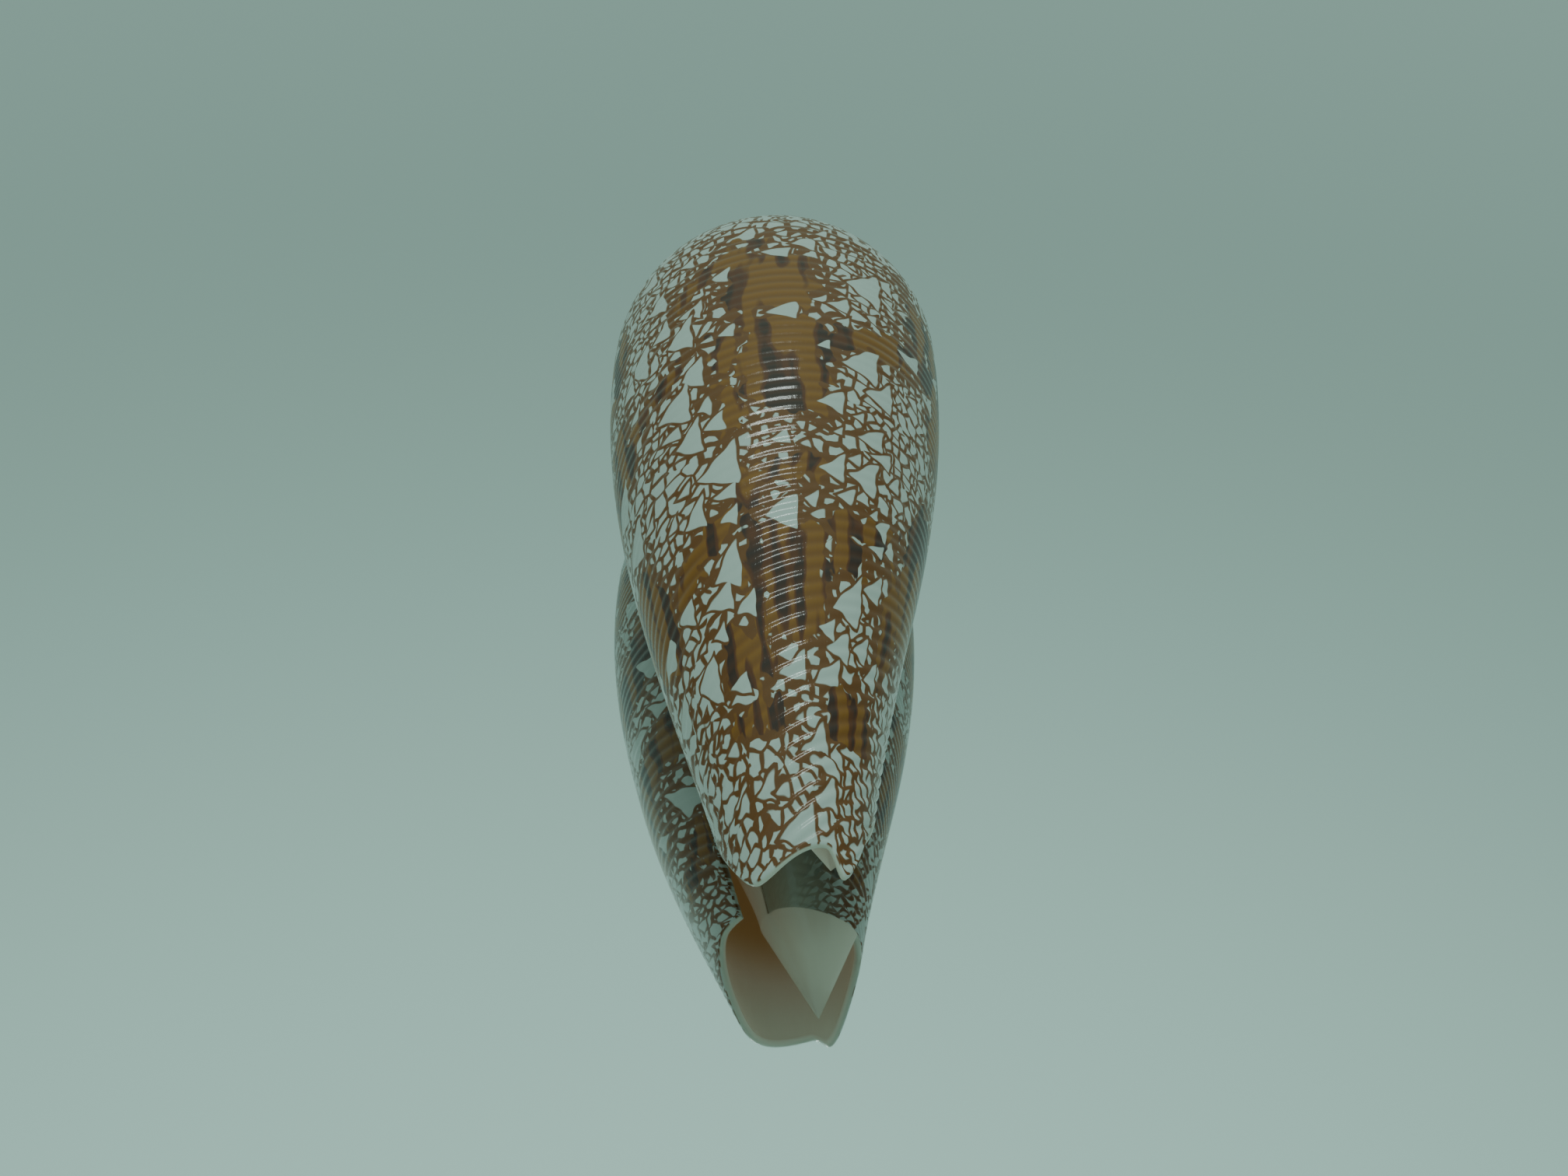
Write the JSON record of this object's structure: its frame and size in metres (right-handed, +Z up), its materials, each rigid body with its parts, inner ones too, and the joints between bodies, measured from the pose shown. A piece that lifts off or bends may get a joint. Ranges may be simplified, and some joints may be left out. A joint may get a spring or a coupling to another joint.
{
  "type": "cone shell",
  "caption": "Tapered cone shell with a rounded shoulder, low stepped spire, long narrow opening under a thin outer lip, and a notched front end.",
  "frame": {"origin": "on the ground, below the middle of the bounding box", "axes": "+Y towards the apex of the spire, -Y towards the notched front end, +Z up away from the opening, -X towards the outer lip"},
  "size_m": [0.0264, 0.0694, 0.0244],
  "materials": {
    "shell": "natural gloss"
  },
  "bodies": {
    "root": {"shell": "shell"}
  },
  "joints": []
}
